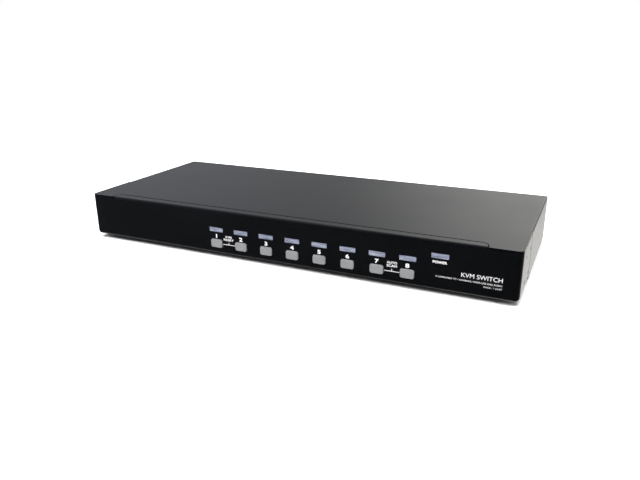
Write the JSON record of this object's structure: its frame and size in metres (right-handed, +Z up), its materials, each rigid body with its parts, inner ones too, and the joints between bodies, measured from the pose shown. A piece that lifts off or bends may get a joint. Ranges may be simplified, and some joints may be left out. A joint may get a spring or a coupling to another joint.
{
  "type": "kvm switch",
  "caption": "Rack-width steel case with push buttons and light windows on the front that switch one console between computers plugged into the rear sockets.",
  "frame": {"origin": "centre of the footprint, on the surface that the rubber feet stand on", "axes": "+X to the right seen from the front, +Y from the front panel to the rear sockets, +Z up"},
  "size_m": [0.44, 0.1842, 0.048],
  "materials": {
    "case_paint": "near-black powder coat with a faint blue cast, satin, fine orange-peel texture",
    "button_plastic": "mid grey moulded plastic, fine matt texture, soft edges",
    "window_plastic": "translucent pale lavender light-pipe plastic with faint horizontal streaks",
    "switch_plastic": "black moulded nylon",
    "plunger_plastic": "off-white moulded plastic",
    "led_package": "cream LED package with a clear lens",
    "board_laminate": "green solder-masked glass-fibre laminate",
    "socket_metal": "bright nickel-plated stamped steel",
    "insert_plastic": "blue moulded insert with contact holes",
    "jack_plastic": "black moulded plastic",
    "zinc_plate": "bright zinc-plated steel",
    "screw_black": "black oxide steel",
    "foot_rubber": "black moulded rubber",
    "chip_epoxy": "black epoxy chip package",
    "legend_ink": "white screen-printed ink, slightly uneven",
    "contact_metal": "gold-plated spring contacts",
    "solder_tin": "tinned pins and solder"
  },
  "bodies": {
    "root": {"chassis_tray": "case_paint", "top_cover": "case_paint", "switch_housings": "switch_plastic", "status_window_1": "window_plastic", "status_window_2": "window_plastic", "status_window_3": "window_plastic", "status_window_4": "window_plastic", "status_window_5": "window_plastic", "status_window_6": "window_plastic", "status_window_7": "window_plastic", "status_window_8": "window_plastic", "power_window": "window_plastic", "indicator_leds": "led_package", "main_board": "board_laminate", "video_board": "board_laminate", "front_board": "board_laminate", "computer_video_socket_1": "socket_metal", "computer_video_socket_2": "socket_metal", "computer_video_socket_3": "socket_metal", "computer_video_socket_4": "socket_metal", "computer_video_socket_5": "socket_metal", "computer_video_socket_6": "socket_metal", "computer_video_socket_7": "socket_metal", "computer_video_socket_8": "socket_metal", "console_video_socket": "socket_metal", "computer_usb_socket_1": "socket_metal", "computer_usb_socket_2": "socket_metal", "computer_usb_socket_3": "socket_metal", "computer_usb_socket_4": "socket_metal", "computer_usb_socket_5": "socket_metal", "computer_usb_socket_6": "socket_metal", "computer_usb_socket_7": "socket_metal", "computer_usb_socket_8": "socket_metal", "console_usb_sockets": "socket_metal", "video_socket_inserts": "insert_plastic", "audio_jacks": "jack_plastic", "power_jack": "jack_plastic", "board_connectors": "jack_plastic", "board_spacers": "zinc_plate", "board_screws": "zinc_plate", "socket_jackscrews": "zinc_plate", "cover_screws": "screw_black", "rubber_feet": "foot_rubber", "integrated_circuits": "chip_epoxy"},
    "button_1": {"button_cap_1": "button_plastic", "switch_plunger_1": "plunger_plastic"},
    "button_2": {"button_cap_2": "button_plastic", "switch_plunger_2": "plunger_plastic"},
    "button_3": {"button_cap_3": "button_plastic", "switch_plunger_3": "plunger_plastic"},
    "button_4": {"button_cap_4": "button_plastic", "switch_plunger_4": "plunger_plastic"},
    "button_5": {"button_cap_5": "button_plastic", "switch_plunger_5": "plunger_plastic"},
    "button_6": {"button_cap_6": "button_plastic", "switch_plunger_6": "plunger_plastic"},
    "button_7": {"button_cap_7": "button_plastic", "switch_plunger_7": "plunger_plastic"},
    "button_8": {"button_cap_8": "button_plastic", "switch_plunger_8": "plunger_plastic"}
  },
  "joints": [
    {"name": "button_1_press", "type": "slide", "parent": "root", "child": "button_1", "axis": [0, 1, 0], "range_m": [0, 0.0005], "stiffness_N_per_m": 800, "springref_m": -0.001},
    {"name": "button_2_press", "type": "slide", "parent": "root", "child": "button_2", "axis": [0, 1, 0], "range_m": [0, 0.0005], "stiffness_N_per_m": 800, "springref_m": -0.001},
    {"name": "button_3_press", "type": "slide", "parent": "root", "child": "button_3", "axis": [0, 1, 0], "range_m": [0, 0.0005], "stiffness_N_per_m": 800, "springref_m": -0.001},
    {"name": "button_4_press", "type": "slide", "parent": "root", "child": "button_4", "axis": [0, 1, 0], "range_m": [0, 0.0005], "stiffness_N_per_m": 800, "springref_m": -0.001},
    {"name": "button_5_press", "type": "slide", "parent": "root", "child": "button_5", "axis": [0, 1, 0], "range_m": [0, 0.0005], "stiffness_N_per_m": 800, "springref_m": -0.001},
    {"name": "button_6_press", "type": "slide", "parent": "root", "child": "button_6", "axis": [0, 1, 0], "range_m": [0, 0.0005], "stiffness_N_per_m": 800, "springref_m": -0.001},
    {"name": "button_7_press", "type": "slide", "parent": "root", "child": "button_7", "axis": [0, 1, 0], "range_m": [0, 0.0005], "stiffness_N_per_m": 800, "springref_m": -0.001},
    {"name": "button_8_press", "type": "slide", "parent": "root", "child": "button_8", "axis": [0, 1, 0], "range_m": [0, 0.0005], "stiffness_N_per_m": 800, "springref_m": -0.001}
  ]
}
